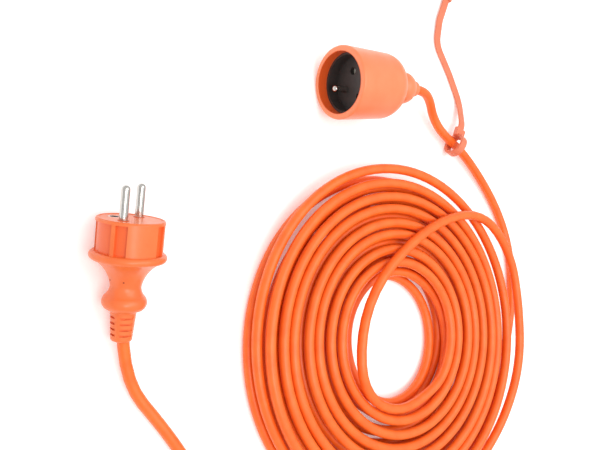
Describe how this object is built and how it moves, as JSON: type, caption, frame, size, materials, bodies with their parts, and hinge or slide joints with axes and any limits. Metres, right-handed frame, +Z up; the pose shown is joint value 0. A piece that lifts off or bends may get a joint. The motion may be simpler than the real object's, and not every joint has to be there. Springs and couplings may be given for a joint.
{
  "type": "extension cord",
  "caption": "Flexible mains cord in a loose coil, with a moulded earthed plug at one end and a portable shuttered socket with a tethered cap at the other.",
  "frame": {"origin": "centre of the laid-out cord's bounding box, on the surface it lies on", "axes": "+Z up off the surface; +X from the cap and socket towards the coil; +Y from the plug towards the socket's side of the layout"},
  "size_m": [0.4521, 0.3771, 0.0499],
  "materials": {
    "orange_moulding": "moulded PVC, soft gloss",
    "orange_jacket": "extruded PVC jacket, semi-matt",
    "tether_pvc": "soft moulded PVC",
    "black_insert": "black nylon",
    "carrier_nylon": "natural nylon",
    "nickel_plate": "nickel-plated brass",
    "brass": "bare brass",
    "spring_steel": "drawn wire",
    "core_brown": "PVC insulation",
    "core_blue": "PVC insulation",
    "core_green_yellow": "PVC insulation"
  },
  "bodies": {
    "cord_set": {"plug_body": "orange_moulding", "plug_bridge": "carrier_nylon", "plug_pin_live": "nickel_plate", "plug_pin_neutral": "nickel_plate", "plug_earth_sleeve": "nickel_plate", "plug_core_live": "core_brown", "plug_core_neutral": "core_blue", "plug_core_earth": "core_green_yellow", "plug_cord": "orange_jacket", "cord_coil": "orange_jacket", "socket_cord": "orange_jacket", "socket_body": "orange_moulding", "socket_insert": "black_insert", "socket_carrier": "carrier_nylon", "socket_earth_pin": "nickel_plate", "socket_contact_live": "brass", "socket_contact_neutral": "brass", "socket_shutter_spring": "spring_steel", "socket_core_live": "core_brown", "socket_core_neutral": "core_blue", "socket_core_earth": "core_green_yellow"},
    "shutter": {"socket_shutter": "carrier_nylon"},
    "tether": {"tether_collar": "tether_pvc", "tether_strap": "tether_pvc", "socket_cap": "tether_pvc"}
  },
  "joints": [
    {"name": "shutter_slide", "type": "slide", "parent": "cord_set", "child": "shutter", "axis": [-0.1566, 0.0461, 0.9866], "range_m": [0, 0.006], "stiffness_N_per_m": 60, "springref_m": -0.004, "deforming": ["socket_shutter_spring"]},
    {"name": "tether_swing", "type": "hinge", "parent": "cord_set", "child": "tether", "pos_m": [-0.04949, 0.1234, 0.0093], "axis": [0.5286, 0.8489, 0], "range_deg": [0, 110]}
  ]
}
